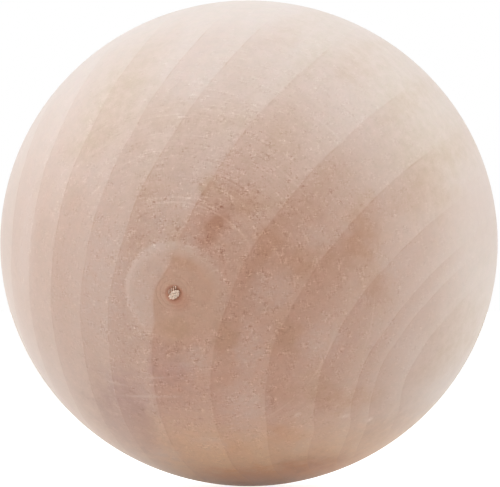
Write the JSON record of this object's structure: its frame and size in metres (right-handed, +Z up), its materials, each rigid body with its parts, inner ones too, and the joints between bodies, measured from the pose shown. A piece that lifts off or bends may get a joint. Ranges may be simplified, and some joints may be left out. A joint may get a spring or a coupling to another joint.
{
  "type": "wooden ball",
  "caption": "Solid turned wooden ball with a parting facet and a torn turning mark at one pole of its lathe axis.",
  "frame": {"origin": "centre of the ball, and of its bounding box", "axes": "+Z up along the ball's shortest way through, and the turning mark on the -Y side, 17.5 degrees to the left of the front and 11.5 degrees below level"},
  "size_m": [0.0506, 0.0506, 0.0494],
  "materials": {
    "ball": "unfinished pale hardwood, lathe-turned and fine-sanded, end grain with year rings at the marked pole"
  },
  "bodies": {
    "root": {"ball": "ball"}
  },
  "joints": []
}
